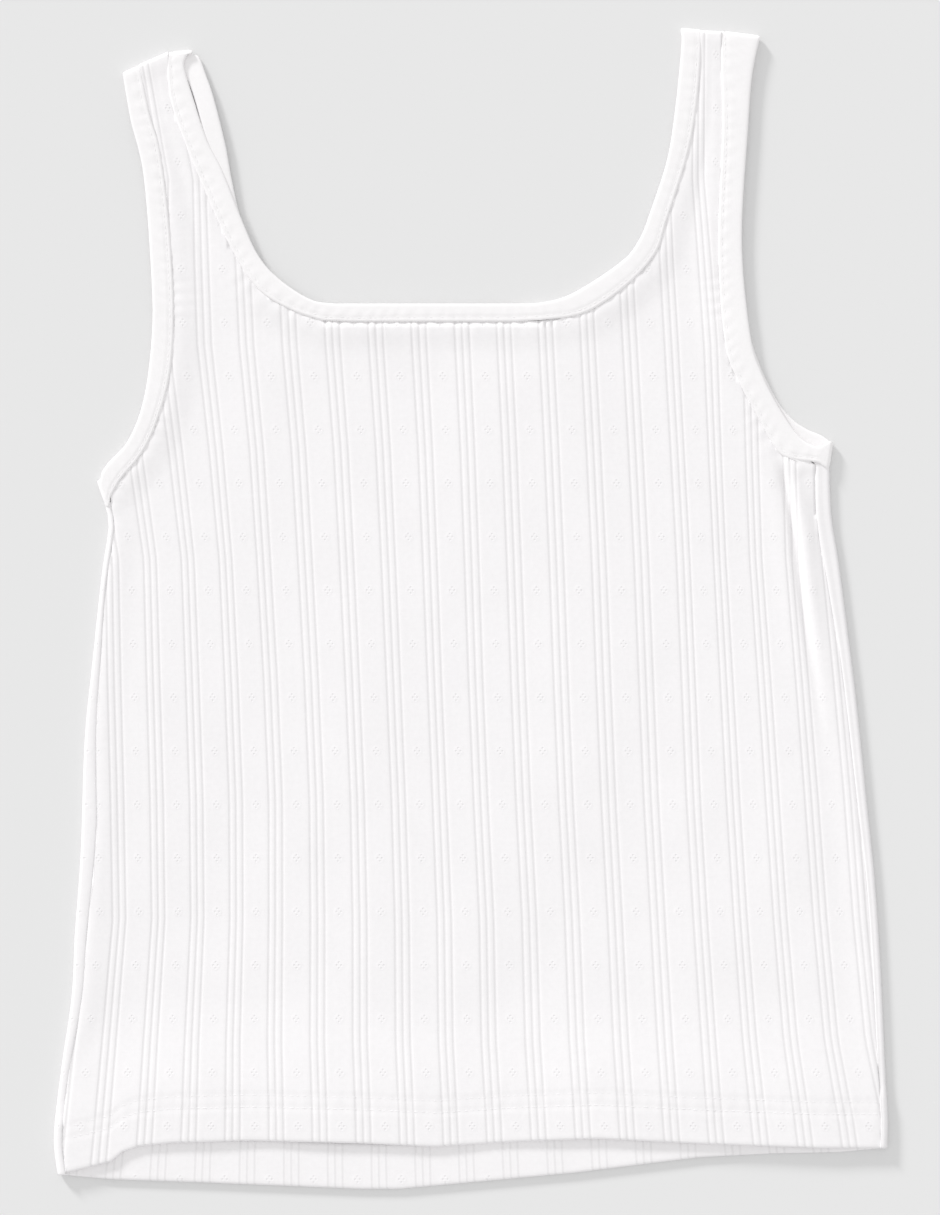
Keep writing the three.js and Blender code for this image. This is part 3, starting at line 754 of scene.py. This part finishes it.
@dataclass
class Ring:
    """A binding: one closed strip, folded flat over the shoulders or the underarm.

    Its stations are pairs of points on its free edge and seam with the way the face looks, and
    each carries the same rounded section.
    """

    name: str
    edge: Array
    seam: Array
    look: Array
    section: int = 15

    @cached_property
    def marks(self) -> Array:
        """Distance round the ring at each station."""
        middle = (self.edge + self.seam) / 2
        steps = np.linalg.norm(np.roll(middle, -1, axis=0) - middle, axis=1)
        return np.concatenate([[0], np.cumsum(steps)[:-1]])

    def half_wall(self, across: Array) -> Array:
        """Half thickness over the width: full in the middle and round at both edges."""
        return BINDING / 2 * (1 - np.abs(2 * across - 1) ** 7) ** (1 / 3.2)

    def build(self) -> bpy.types.Object:
        """Makes the ring as a closed tube of flat, round-edged section."""
        across = (1 - np.cos(np.linspace(0, math.pi, self.section))) / 2
        half = self.half_wall(across)
        width = np.linalg.norm(self.edge - self.seam, axis=1)[:, None]
        to_seam = (1 - across)[None, :] * width
        groove = 0.28 * bump(to_seam - TOPSTITCH, 0.6)
        tucks = np.sin(self.marks[:, None] * 0.93 + 1.2 * np.sin(self.marks[:, None] * 0.17))
        outer = half[None, :] - groove + 0.1 * tucks * bump(to_seam - 3.5, 3) * (half > 0)[None]
        outer = np.minimum(outer, BINDING / 2 - 0.06 + 0.18 * (self.look[:, 2:3] > 0))
        inner = np.broadcast_to(-half[None, :], outer.shape)[:, ::-1][:, 1:-1]
        shares = np.concatenate([across, across[::-1][1:-1]])
        offset = np.concatenate([outer, inner], axis=1)
        place = (
            self.edge[:, None] * (1 - shares)[None, :, None]
            + self.seam[:, None] * shares[None, :, None]
            + self.look[:, None] * offset[..., None]
        )
        uv = np.stack(np.broadcast_arrays(self.marks[:, None], shares[None] * width), axis=-1)
        faces = grid_faces(*place.shape[:2], ring=True)
        piece = make_mesh(self.name, place.reshape(-1, 3), faces, uv.reshape(-1, 2))
        face_out(piece)
        return piece

    def stitch_line(self, spacing: float) -> tuple[Array, Array, Array]:
        """Places, runs and looks of the topstitches, a little way from the seam."""
        count = int(self.marks[-1] / spacing)
        at = (np.arange(count) + 0.5) * self.marks[-1] / count
        width = np.linalg.norm(self.edge - self.seam, axis=1)[:, None]
        line = self.seam + (self.edge - self.seam) * TOPSTITCH / width
        line = line + self.look * (BINDING / 2 - 0.2)
        place = np.stack([np.interp(at, self.marks, line[:, k]) for k in range(3)], axis=1)
        ahead = np.stack([np.interp(at + 1, self.marks, line[:, k]) for k in range(3)], axis=1)
        look = np.stack([np.interp(at, self.marks, self.look[:, k]) for k in range(3)], axis=1)
        run = ahead - place
        return place, run / np.linalg.norm(run, axis=1)[:, None], look


def face_out(piece: bpy.types.Object) -> None:
    """Turns a closed mesh's faces outwards, by the sign of the volume it encloses."""
    mesh = piece.data
    mesh.calc_loop_triangles()
    tris = np.empty(len(mesh.loop_triangles) * 3, np.int32)
    mesh.loop_triangles.foreach_get("vertices", tris)
    co = np.empty(len(mesh.vertices) * 3)
    mesh.vertices.foreach_get("co", co)
    a, b, c = co.reshape(-1, 3)[tris.reshape(-1, 3)].transpose(1, 0, 2)
    if (a * np.cross(b, c)).sum() < 0:
        mesh.flip_normals()


Stations = tuple[Array, Array, Array]
UNDER, OVER = BINDING / 2, BINDING_FOLD - BINDING / 2


def lay(strip: Strip, shares: Array, level: float, up: int, lift: float = 0.0) -> Stations:
    """Stations of a strip that lies flat at a level, lifted by a half sine of the share squared."""
    height = (level + lift * np.sin(math.pi * shares**2))[:, None]

    def place(c: Curve) -> Array:
        return np.concatenate([c.at(shares), height], axis=1)
    look = np.tile((0.0, 0.0, float(up)), (len(shares), 1))
    return place(strip.edge), place(strip.seam), look


def fold(strip: Strip, share: float, outward: Array, downwards: bool = True) -> Stations:
    """Stations of a half turn whose outside just reaches the fold line.

    Args:
        strip: the binding's strip.
        share: its end, 0 or 1.
        outward: unit vector out of the garment, across the fold line.
        downwards: whether the run goes from the front to the back.

    Returns:
        Edge points, seam points and looks.
    """
    angle = np.linspace(0, math.pi, 11)
    angle = angle if downwards else angle[::-1]
    radius = (BINDING_FOLD - BINDING) / 2
    reach = (radius * np.sin(angle) - BINDING_FOLD / 2)[:, None]
    level = (BINDING_FOLD / 2 + radius * np.cos(angle))[:, None]
    places = [np.concatenate([c.at(share) + outward * reach, level], axis=1)
              for c in (strip.edge, strip.seam)]
    look = np.concatenate([outward * np.sin(angle)[:, None], np.cos(angle)[:, None]], axis=1)
    return places[0], places[1], look


def join(*parts: Stations) -> Stations:
    """One run of stations from several."""
    return tuple(np.concatenate([part[k] for part in parts]) for k in range(3))


STATION = 1.6  # distance between stations


def shares_of(strip: Strip, low: float, high: float) -> Array:
    """Even shares along a strip, one station apart."""
    count = max(3, int((high - low) * strip.seam.length / STATION))
    return np.linspace(low, high, count)


def armhole_ring(side: Side) -> Ring:
    """The armhole binding: up the front, over the shoulder, down the back, round the side."""
    front, back = ARMHOLE[Layer.FRONT, side], ARMHOLE[Layer.BACK, side]
    (ax, ay), (bx, by) = front.edge.points[0], front.seam.points[0]
    out = np.array((ay - by, bx - ax)) * side.value
    out /= np.linalg.norm(out)
    stations = join(
        lay(front, shares_of(front, 0.025, 0.985), OVER, 1),
        fold(front, 1, SHOULDER_OUT[side]),
        lay(back, shares_of(back, 0.025, 0.98)[::-1], UNDER, -1),
        fold(front, 0, out, downwards=False),
    )
    return Ring(f"armhole_binding_{side.name.lower()}_cloth", *stations)


def neck_ring() -> Ring:
    """The neck binding: down the left strap, along the scoop and up, then round the back."""
    def bottom(layer: Layer, drop: float, level: float, up: int) -> Stations:
        share = np.linspace(0, 1, 70)[1:-1]
        ends = {}
        for key, height in (("edge", NECK_EDGE), ("seam", NECK_LEVEL)):
            a = np.array(getattr(NECK[layer, Side.LEFT], key).points[0])
            b = np.array(getattr(NECK[layer, Side.RIGHT], key).points[0])
            plan = a + (b - a) * share[:, None]
            middle = smooth(0, 0.15, share) * (1 - smooth(0.85, 1, share))
            plan[:, 1] += middle * (height - drop - plan[:, 1])
            ends[key] = np.concatenate([plan, np.full((len(plan), 1), level)], axis=1)
        return ends["edge"], ends["seam"], np.tile((0.0, 0.0, float(up)), (len(share), 1))

    front = {side: NECK[Layer.FRONT, side] for side in Side}
    back = {side: NECK[Layer.BACK, side] for side in Side}
    left, right = Side.LEFT, Side.RIGHT
    under = bottom(Layer.BACK, BACK_NECK_DROP, UNDER, -1)
    stations = join(
        lay(front[left], shares_of(front[left], 0, 0.98)[::-1], OVER, 1),
        bottom(Layer.FRONT, 0, OVER, 1),
        lay(front[right], shares_of(front[right], 0, 0.98), OVER, 1),
        fold(front[right], 1, SHOULDER_OUT[right]),
        lay(back[right], shares_of(back[right], 0, 0.975)[::-1], UNDER, -1),
        tuple(part[::-1] for part in under),
        lay(back[left], shares_of(back[left], 0, 0.975), UNDER, -1, lift=1.5),
        fold(front[left], 1, SHOULDER_OUT[left], downwards=False),
    )
    return Ring("neck_binding_cloth", *stations)


# ------------------------------------------------------------------ stitches


@dataclass
class Stitches:
    """Short thread beads laid end to end along a line, as one mesh."""

    name: str
    length: float = 2.3
    radius: float = 0.17
    sides: int = 6

    def build(self, place: Array, run: Array, look: Array) -> bpy.types.Object:
        """Copies one bead to every place.

        Args:
            place: (n, 3) middles of the stitches, in millimetres.
            run: unit vectors along them.
            look: unit vectors out of the cloth.

        Returns:
            The joined mesh.
        """
        along = np.array((-0.5, -0.38, 0.0, 0.38, 0.5)) * self.length
        size = np.array((0.15, 0.8, 1.0, 0.8, 0.15)) * self.radius
        sink = np.array((-1.0, -0.35, 0.0, -0.35, -1.0)) * self.radius
        angle = np.arange(self.sides) * 2 * math.pi / self.sides
        across = np.cross(look, run)
        ring_x = size[:, None] * np.cos(angle)
        ring_z = size[:, None] * np.sin(angle) + sink[:, None]
        points = (
            place[:, None, None]
            + run[:, None, None] * along[None, :, None, None]
            + across[:, None, None] * ring_x[None, ..., None]
            + look[:, None, None] * ring_z[None, ..., None]
        )
        rings, sides = len(along), self.sides
        r = np.arange(rings - 1)[:, None]
        c = np.arange(sides)[None, :]
        c2 = (c + 1) % sides
        one = np.stack(np.broadcast_arrays(
            r * sides + c, r * sides + c2, (r + 1) * sides + c2, (r + 1) * sides + c), -1)
        one = one.reshape(-1, 4)
        base = np.arange(len(place))[:, None, None] * rings * sides
        flat = points.reshape(-1, 3)
        uv = flat[:, :2] / 3
        piece = make_mesh(self.name, flat, (one[None] + base).reshape(-1, 4), uv)
        face_out(piece)
        return piece


def hem_stitch_line(layer: Layer, inside: bool) -> tuple[Array, Array, Array]:
    """Both rows of the hem's coverstitch, on its outer face or on the turned-up allowance."""
    panel = Panel(layer, "")
    x = np.arange(-198, 203, 3.1)
    rows = []
    for rise in STITCH_RISES:
        y = panel.hem(x) + rise
        left, right = (OUTLINE[side].x_at(y) for side in Side)
        keep = (x > left + 5) & (x < right - 4)
        if layer is Layer.FRONT:
            z = front_top(x, y, np.full_like(x, rise)) + 0.03
        else:
            z = np.full_like(x, 2.06 * CLOTH if inside else 0.12)
        rows.append(np.stack([x, y, z], axis=1)[keep])
    place = np.concatenate(rows)
    run = np.tile((1.0, 0.0, 0.0), (len(place), 1))
    up = 1.0 if layer is Layer.FRONT or inside else -1.0
    return place, run, np.tile((0.0, 0.0, up), (len(place), 1))


# ------------------------------------------------------------------ materials


class Graph:
    """Short ways to add nodes to a tree."""

    def __init__(self, tree: bpy.types.NodeTree) -> None:
        """Keeps the tree that nodes are added to."""
        self.tree = tree

    def add(self, kind: str, **settings: object) -> bpy.types.Node:
        """A new node with its settings."""
        node = self.tree.nodes.new(kind)
        for key, value in settings.items():
            setattr(node, key, value)
        return node

    def put(self, socket: bpy.types.NodeSocket, value: object) -> None:
        """Links a socket to another, or sets its value."""
        if isinstance(value, bpy.types.NodeSocket):
            self.tree.links.new(value, socket)
        else:
            socket.default_value = value

    def math(self, operation: str, *values: object) -> bpy.types.NodeSocket:
        """The result of a Math node."""
        node = self.add("ShaderNodeMath", operation=operation)
        for socket, value in zip(node.inputs, values):
            self.put(socket, value)
        return node.outputs[0]

    def step(self, value: object, low: float, high: float) -> bpy.types.NodeSocket:
        """A smooth step from nothing at low to one at high."""
        node = self.add("ShaderNodeMapRange", interpolation_type="SMOOTHSTEP")
        for index, item in enumerate((value, low, high, 0.0, 1.0)):
            self.put(node.inputs[index], item)
        return node.outputs[0]

    def noise(self, vector: object, scale: float, detail: float = 2.0) -> bpy.types.NodeSocket:
        """The value of a Noise Texture."""
        node = self.add("ShaderNodeTexNoise")
        self.put(node.inputs["Vector"], vector)
        self.put(node.inputs["Scale"], scale)
        self.put(node.inputs["Detail"], detail)
        return node.outputs[0]


def new_group(name: str, inputs: tuple, outputs: tuple) -> tuple:
    """A node group with named sockets.

    Args:
        name: the group's name.
        inputs: (name, socket type, starting value) of each input.
        outputs: (name, socket type) of each output.

    Returns:
        The group, a graph of it, and its input and output nodes.
    """
    tree = bpy.data.node_groups.new(name, "ShaderNodeTree")
    for label, kind, value in inputs:
        socket = tree.interface.new_socket(label, in_out="INPUT", socket_type=kind)
        if value is not None:
            socket.default_value = value
    for label, kind in outputs:
        tree.interface.new_socket(label, in_out="OUTPUT", socket_type=kind)
    graph = Graph(tree)
    return tree, graph, graph.add("NodeGroupInput"), graph.add("NodeGroupOutput")


def rib_group() -> bpy.types.NodeTree:
    """Ribs and pointelle over the panel's map: U counts rib groups, V counts motifs.

    The grooves are where U is near a whole number or a groove's step to its side. A motif is
    four eyelets round the middle of the channel between two groups.
    """
    tree, g, start, end = new_group(
        "rib_and_pointelle",
        (("Map", "NodeSocketVector", None), ("Eyelets", "NodeSocketFloat", 1.0)),
        (("Groove", "NodeSocketFloat"), ("Eyelet", "NodeSocketFloat"),
         ("Height", "NodeSocketFloat")))
    split = g.add("ShaderNodeSeparateXYZ")
    g.put(split.inputs[0], start.outputs["Map"])
    u, v = split.outputs[0], split.outputs[1]
    off = g.math("ABSOLUTE", g.math("SUBTRACT", g.math("FRACT", g.math("ADD", u, 100.5)), 0.5))
    side = g.math("ABSOLUTE", g.math("SUBTRACT", off, GRAIN.line))
    groove = g.math("SUBTRACT", 1.0, g.step(g.math("MINIMUM", off, side), 0.006, 0.042))
    channel = g.math("ABSOLUTE", g.math("SUBTRACT", g.math("FRACT", g.math("ADD", u, 100)), 0.5))
    motif = g.math("ABSOLUTE", g.math("SUBTRACT", g.math("FRACT", g.math("ADD", v, 100.173)), 0.5))
    mm_u, mm_v = g.math("MULTIPLY", channel, CHANNEL), g.math("MULTIPLY", motif, MOTIF)

    def hole(at_u: float, at_v: float) -> bpy.types.NodeSocket:
        """One eyelet of a motif, and its mirror images, as a soft dot."""
        du, dv = g.math("SUBTRACT", mm_u, at_u), g.math("SUBTRACT", mm_v, at_v)
        far = g.math("SQRT", g.math("ADD", g.math("MULTIPLY", du, du), g.math("MULTIPLY", dv, dv)))
        return g.math("SUBTRACT", 1.0, g.step(far, 0.25, 0.62))

    eyelet = g.math("MAXIMUM", hole(1.15, 0.0), hole(0.0, 1.5))
    eyelet = g.math("MULTIPLY", eyelet, start.outputs["Eyelets"])
    rim = g.math("ADD", g.math("MULTIPLY", mm_u, mm_u), g.math("MULTIPLY", mm_v, mm_v))
    rim = g.math("MULTIPLY", g.math("SUBTRACT", 1.0, g.step(rim, 3.0, 9.0)),
                 start.outputs["Eyelets"])
    height = g.math("SUBTRACT", g.math("MULTIPLY", rim, 0.35), g.math("MULTIPLY", groove, 0.7))
    height = g.math("SUBTRACT", height, eyelet)
    # the Groove and Eyelet masks shape the relief, and the finish also uses them to darken its
    # colour as painted shade in the grooves and holes
    g.put(end.inputs["Groove"], groove)
    g.put(end.inputs["Eyelet"], eyelet)
    g.put(end.inputs["Height"], g.math("MULTIPLY", height, 0.7))
    return tree


def stitch_group() -> bpy.types.NodeTree:
    """Knit stitches: a V in each loop, from sines over wales and courses, and a soft nap."""
    tree, g, start, end = new_group(
        "knit_stitches",
        (("Map", "NodeSocketVector", None), ("Wales", "NodeSocketFloat", 1.0),
         ("Courses", "NodeSocketFloat", 1.0)),
        (("Height", "NodeSocketFloat"), ("Cloud", "NodeSocketFloat"),
         ("Nap", "NodeSocketFloat")))
    split = g.add("ShaderNodeSeparateXYZ")
    g.put(split.inputs[0], start.outputs["Map"])
    wale = g.math("MULTIPLY", split.outputs[0], start.outputs["Wales"])
    course = g.math("MULTIPLY", split.outputs[1], start.outputs["Courses"])
    leg = g.math("PINGPONG", wale, 0.5)
    vee = g.math("SINE", g.math("MULTIPLY", g.math("ADD", course, leg), 2 * math.pi))
    column = g.math("SINE", g.math("MULTIPLY", leg, 2 * math.pi))
    place = g.add("ShaderNodeTexCoord").outputs["Object"]
    nap = g.noise(place, 2600.0, 3.0)
    height = g.math("ADD", g.math("MULTIPLY", vee, 0.35), g.math("MULTIPLY", column, 0.5))
    g.put(end.inputs["Height"], g.math("ADD", height, g.math("MULTIPLY", nap, 0.8)))
    g.put(end.inputs["Cloud"], g.noise(place, 38.0, 4.0))
    g.put(end.inputs["Nap"], g.noise(place, 420.0, 3.0))
    return tree


@dataclass(frozen=True)
class CottonFinish:
    """White cotton knit: colour, stitch counts over its map and whether it is ribbed."""

    name: str
    slot: str
    color: tuple[float, float, float]
    wales: float
    courses: float
    ribbed: bool
    eyelets: float = 1.0
    # painted shade: how much the grooves' colour is darkened, standing in for the shade that falls
    # in them
    groove_painted_shade: float = 0.075
    stitch_height: float = 0.12

    def build(self, ribs: bpy.types.NodeTree, stitches: bpy.types.NodeTree) -> bpy.types.Material:
        """Makes the material from the shared groups."""
        material = bpy.data.materials.new(self.name)
        material.use_nodes = True
        g = Graph(material.node_tree)
        shader = material.node_tree.nodes["Principled BSDF"]
        shader.inputs["Sheen Weight"].default_value = 0.12
        shader.inputs["Sheen Roughness"].default_value = 0.45
        shader.inputs["Specular IOR Level"].default_value = 0.25
        knit_map = g.add("ShaderNodeUVMap", uv_map="Knit").outputs[0]
        loops = g.add("ShaderNodeGroup", node_tree=stitches)
        g.put(loops.inputs["Map"], knit_map)
        loops.inputs["Wales"].default_value = self.wales
        loops.inputs["Courses"].default_value = self.courses
        cloud = g.math("MULTIPLY", g.math("SUBTRACT", loops.outputs["Cloud"], 0.5), 0.05)
        nap = g.math("MULTIPLY", g.math("SUBTRACT", loops.outputs["Nap"], 0.5), 0.06)
        shade = g.math("ADD", g.math("ADD", cloud, nap), 1.0)
        height = g.math("MULTIPLY", loops.outputs["Height"], self.stitch_height)
        if self.ribbed:
            rib = g.add("ShaderNodeGroup", node_tree=ribs)
            g.put(rib.inputs["Map"], knit_map)
            rib.inputs["Eyelets"].default_value = self.eyelets
            # painted shade: the colour is darkened in the grooves and the eyelet holes, where shade
            # falls; the cloud and nap above are the knit's own uneven tone
            painted_shade = g.math("ADD", g.math("MULTIPLY", rib.outputs["Groove"], self.groove_painted_shade),
                          g.math("MULTIPLY", rib.outputs["Eyelet"], 0.05))
            shade = g.math("MULTIPLY", shade, g.math("SUBTRACT", 1.0, painted_shade))
            height = g.math("ADD", height, rib.outputs["Height"])
        tint = g.add("ShaderNodeVectorMath", operation="SCALE")
        tint.inputs[0].default_value = self.color
        g.put(tint.inputs["Scale"], shade)
        g.put(shader.inputs["Base Color"], tint.outputs[0])
        g.put(shader.inputs["Roughness"], g.math("ADD", nap, 0.86))
        relief = g.add("ShaderNodeBump")
        relief.inputs["Strength"].default_value = 0.5
        relief.inputs["Distance"].default_value = 0.35 * MM
        g.put(relief.inputs["Height"], height)
        g.put(shader.inputs["Normal"], relief.outputs[0])
        return material


# ------------------------------------------------------------------ garment and studio


def dress(piece: bpy.types.Object, material: bpy.types.Material) -> None:
    """Gives a piece its material, and lets it ride on the garment's one body."""
    piece.data.materials.append(material)
    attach(piece, "root")
    log.info("%s: %d faces", piece.name, len(piece.data.polygons))


@dataclass
class TankTop:
    """The whole garment, piece by piece."""

    rib: CottonFinish = CottonFinish(
        "white_rib_knit", "rib_knit", (0.918, 0.902, 0.911), 23.0, 34.0, True)
    jersey: CottonFinish = CottonFinish(
        "white_binding_jersey", "binding_jersey", (0.93, 0.915, 0.92), 1.2, 1.1, False)
    thread: CottonFinish = CottonFinish(
        "white_thread", "rib_knit", (0.93, 0.92, 0.925), 4.0, 4.0, False)
    panel_cut: tuple[float, float] = (0.42, 0.60)
    front_area: float = 0.176
    back_area: float = 0.182
    hem_allowance: float = 0.025
    binding_cut: float = 0.0105
    back_phase: float = 0.34  # how far the back's rib groups lie from the front's
    thread_radius: float = 0.13
    coverstitch_radius: float = 0.12

    def build(self) -> None:
        """Builds and dresses every piece."""
        ribs, loops = rib_group(), stitch_group()
        rib, jersey, thread = (f.build(ribs, loops) for f in (self.rib, self.jersey, self.thread))
        back = self.panel(Panel(Layer.BACK, "back_panel_cloth", self.back_phase), rib)
        front = self.panel(Panel(Layer.FRONT, "front_panel_cloth"), rib)
        for ring in (*map(armhole_ring, Side), neck_ring()):
            self.binding(ring, jersey, thread)
        front_hem = self.coverstitch("hem_stitching_front", Layer.FRONT, False, thread)
        back_hem = self.coverstitch("hem_stitching_back", Layer.BACK, False, thread)
        inner_hem = self.coverstitch("hem_stitching_inside", Layer.BACK, True, thread)

    def panel(self, panel: Panel, material: bpy.types.Material) -> bpy.types.Object:
        """Builds and dresses a panel, in its solid's place."""
        piece = panel.build()
        dress(piece, material)
        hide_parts(f"{panel.layer.value}_panel")
        return piece

    def binding(
        self, ring: Ring, jersey: bpy.types.Material, thread: bpy.types.Material
    ) -> None:
        """Builds and dresses a binding and its topstitching, in its solid's place."""
        piece = ring.build()
        dress(piece, jersey)
        node = ring.name.removesuffix("_cloth")
        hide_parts(node)
        seams = Stitches(f"{node}_stitching", length=2.0, radius=self.thread_radius)
        sewn = seams.build(*ring.stitch_line(2.7))
        dress(sewn, thread)

    def coverstitch(
        self, name: str, layer: Layer, inside: bool, thread: bpy.types.Material
    ) -> bpy.types.Object:
        """Builds and dresses one face of a hem's stitching."""
        seams = Stitches(name, length=2.7, radius=self.coverstitch_radius)
        sewn = seams.build(*hem_stitch_line(layer, inside))
        dress(sewn, thread)
        return sewn


@dataclass
class Studio:
    """A pale floor, a soft sky, a low key light and a camera straight above."""

    floor_color: tuple[float, float, float] = (0.79, 0.79, 0.79)
    sky: float = 0.826
    key: float = 2.15
    key_height: float = 16.5
    key_from: float = 127.0
    distance: float = 2.6
    covers: tuple[float, float] = (0.470, 0.6075)

    def build(self) -> None:
        """Makes the floor, the lights and the camera."""
        scene = bpy.context.scene
        self.floor()
        world = bpy.data.worlds.new("soft_sky")
        world.use_nodes = True
        back = world.node_tree.nodes["Background"]
        back.inputs["Color"].default_value = (1.0, 1.0, 1.0, 1.0)
        back.inputs["Strength"].default_value = self.sky
        scene.world = world
        light = bpy.data.lights.new("key", "SUN")
        light.energy = self.key
        light.angle = math.radians(9)
        lamp = bpy.data.objects.new("key", light)
        lamp.rotation_euler = (0, math.radians(90 - self.key_height), math.radians(self.key_from))
        scene.collection.objects.link(lamp)
        camera = bpy.data.cameras.new("above")
        camera.sensor_fit = "VERTICAL"
        camera.sensor_height = 24.0
        camera.lens = camera.sensor_height * self.distance / self.covers[1]
        view = bpy.data.objects.new("above", camera)
        view.location = (-0.5 * MM, 0.25 * MM, self.distance)
        scene.collection.objects.link(view)
        scene.camera = view
        scene.view_settings.view_transform = "Standard"

    def floor(self) -> None:
        """A wide plain floor."""
        half = 4.0
        mesh = bpy.data.meshes.new("floor")
        corners = [(-half, -half, 0), (half, -half, 0), (half, half, 0), (-half, half, 0)]
        mesh.from_pydata(corners, [], [(0, 1, 2, 3)])
        floor = bpy.data.objects.new("floor", mesh)
        bpy.context.scene.collection.objects.link(floor)
        material = bpy.data.materials.new("pale_floor")
        material.use_nodes = True
        shader = material.node_tree.nodes["Principled BSDF"]
        shader.inputs["Base Color"].default_value = (*self.floor_color, 1.0)
        shader.inputs["Roughness"].default_value = 0.95
        shader.inputs["Specular IOR Level"].default_value = 0.1
        mesh.materials.append(material)


def main() -> None:
    """Builds the studio and the garment."""
    logging.basicConfig(level=logging.INFO, format="%(message)s")
    Studio().build()
    TankTop().build()


if __name__ == "__main__":
    main()
